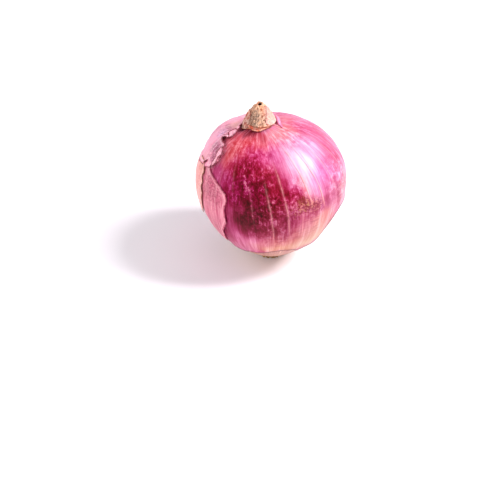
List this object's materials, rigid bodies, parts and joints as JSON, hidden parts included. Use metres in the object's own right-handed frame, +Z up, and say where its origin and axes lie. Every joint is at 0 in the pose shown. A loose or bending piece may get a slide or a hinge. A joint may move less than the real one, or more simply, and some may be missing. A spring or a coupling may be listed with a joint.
{
  "type": "red onion",
  "caption": "Whole red onion standing upright: a plump bulb tapering to its root plate, in torn dry skins, with a short dried neck on top and trimmed roots below.",
  "frame": {"origin": "middle of the flat underside of the root plate, on the surface the onion stands on", "axes": "+Z up through the bulb; the neck leans towards -X; the front, where the loose skin's torn edge shows, faces -Y"},
  "size_m": [0.0758, 0.0745, 0.0865],
  "materials": {
    "inner_skin": "satin",
    "red_skin": "glossy",
    "pink_paper": "satin",
    "tan_paper": "matt",
    "dried_neck": "matt",
    "dried_root": "matt"
  },
  "bodies": {
    "root": {"bulb": "inner_skin", "outer_skin": "red_skin", "paper_skin": "pink_paper", "paper_flake": "tan_paper", "skin_tatter": "pink_paper", "neck": "dried_neck", "root_plate": "dried_root"}
  },
  "joints": []
}
